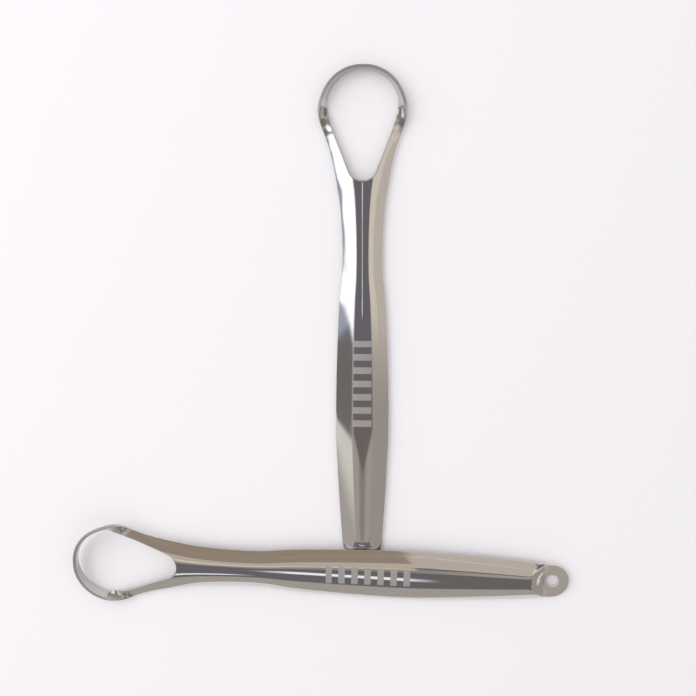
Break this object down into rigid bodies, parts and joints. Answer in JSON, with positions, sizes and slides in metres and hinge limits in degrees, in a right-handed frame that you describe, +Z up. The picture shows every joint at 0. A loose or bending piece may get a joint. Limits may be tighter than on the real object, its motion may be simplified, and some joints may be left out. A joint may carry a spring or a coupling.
{
  "type": "tongue scraper set",
  "caption": "Stainless-steel tongue scrapers lying crossed: arched handle with a hanging hole in a flat tail, and arms that open into a teardrop loop with a turned-up scraping rim.",
  "frame": {"origin": "middle of the set's footprint, on the table it lies on", "axes": "+Y along the lower scraper from its tail to its loop, +X across it towards the upper scraper's tail, +Z up from the table"},
  "size_m": [0.1502, 0.1584, 0.0061],
  "materials": {
    "stainless_steel": "polished stainless steel with fine rubbing marks and satin cut edges"
  },
  "bodies": {
    "lower": {"lower_scraper": "stainless_steel"},
    "upper": {"upper_scraper": "stainless_steel"}
  },
  "joints": [
    {"name": "upper_lift", "type": "slide", "parent": "lower", "child": "upper", "axis": [0, 0, 1], "range_m": [0, 0.06]}
  ]
}
